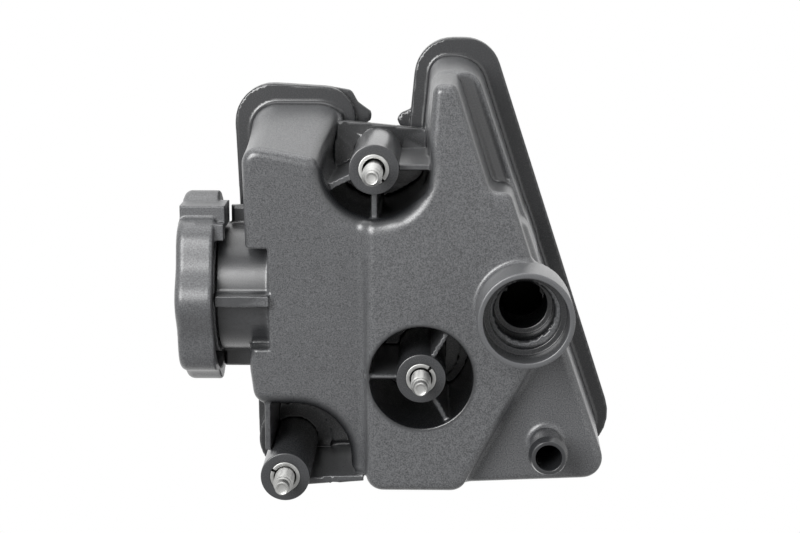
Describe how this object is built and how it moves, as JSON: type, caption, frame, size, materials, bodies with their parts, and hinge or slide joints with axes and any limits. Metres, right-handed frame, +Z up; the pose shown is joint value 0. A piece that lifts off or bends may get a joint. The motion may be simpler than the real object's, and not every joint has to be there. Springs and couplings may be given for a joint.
{
  "type": "power steering reservoir",
  "caption": "Welded two-shell fluid tank with a screw cap and dipstick, suction port, return spigot and three bolt bosses.",
  "frame": {"origin": "centre bolt's axis on the plane of the three boss faces", "axes": "-Y out of the mounting plane along the bolts, +Z up along the filler neck, +X along the mounting face towards the long lobe"},
  "size_m": [0.1386, 0.09, 0.1359],
  "materials": {
    "shell": "fine grained",
    "cap": "fine grained",
    "inner_plastic": "satin",
    "seal": "matt",
    "screen": "woven",
    "zinc": "zinc plated"
  },
  "bodies": {
    "tank": {"front_shell": "shell", "rear_shell": "shell", "strainer_frame": "inner_plastic", "strainer_screen": "screen", "upper_sleeve": "zinc", "centre_sleeve": "zinc", "lower_sleeve": "zinc"},
    "cap_plug": {"cap_core": "inner_plastic", "cap_seal": "seal", "dipstick": "inner_plastic"},
    "cap_grip": {"cap_knob": "cap"},
    "bolt_a": {"upper_bolt": "zinc"},
    "bolt_b": {"centre_bolt": "zinc"},
    "bolt_c": {"lower_bolt": "zinc"}
  },
  "joints": [
    {"name": "cap_lift", "type": "slide", "parent": "tank", "child": "cap_plug", "axis": [0, 0, 1], "range_m": [0, 0.1005]},
    {"name": "cap_turn", "type": "hinge", "parent": "cap_plug", "child": "cap_grip", "pos_m": [0.0225, 0.027, 0.074], "axis": [0, 0, 1], "range_deg": [0, 1800]},
    {"name": "upper_bolt_slide", "type": "slide", "parent": "tank", "child": "bolt_a", "axis": [0, 1, 0], "range_m": [0, 0.02]},
    {"name": "centre_bolt_slide", "type": "slide", "parent": "tank", "child": "bolt_b", "axis": [0, 1, 0], "range_m": [-0.005, 0.015]},
    {"name": "lower_bolt_slide", "type": "slide", "parent": "tank", "child": "bolt_c", "axis": [0, 1, 0], "range_m": [-0.0062, 0.0138]}
  ],
  "couplings": [
    {"joint": "cap_lift", "follows": "cap_turn", "m_per_rad": 0.0031831}
  ]
}
